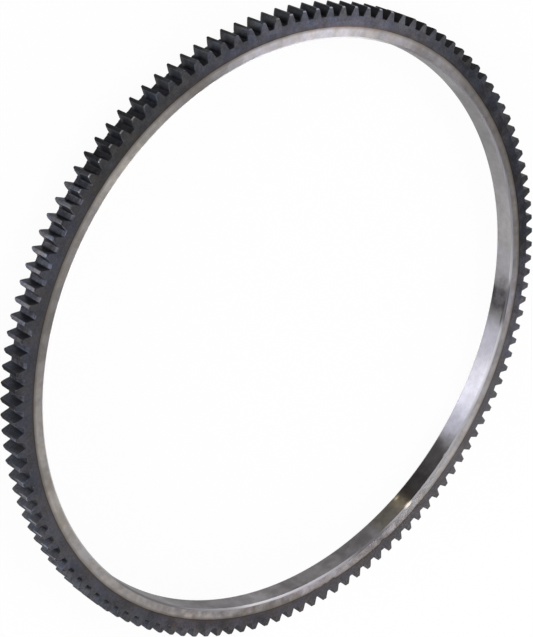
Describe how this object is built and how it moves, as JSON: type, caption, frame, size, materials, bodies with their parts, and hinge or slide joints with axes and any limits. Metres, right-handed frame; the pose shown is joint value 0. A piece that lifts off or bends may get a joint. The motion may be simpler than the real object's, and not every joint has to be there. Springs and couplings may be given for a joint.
{
  "type": "flywheel ring gear",
  "caption": "Toothed steel ring that is shrunk onto a flywheel rim, with stub spur teeth outside, a plain bore, and a lead-in cut on one flank of each tooth at the back.",
  "frame": {"origin": "centre of the bore, on the plane of the back face, which the ring lies on", "axes": "+Z along the bore axis, out of the front face; +X through the middle of one tooth"},
  "size_m": [0.3294, 0.3294, 0.0125],
  "materials": {
    "steel": "turned and satin on the bore and the inner face, dark oxide from hardening on the teeth"
  },
  "bodies": {
    "root": {"ring_gear": "steel"}
  },
  "joints": []
}
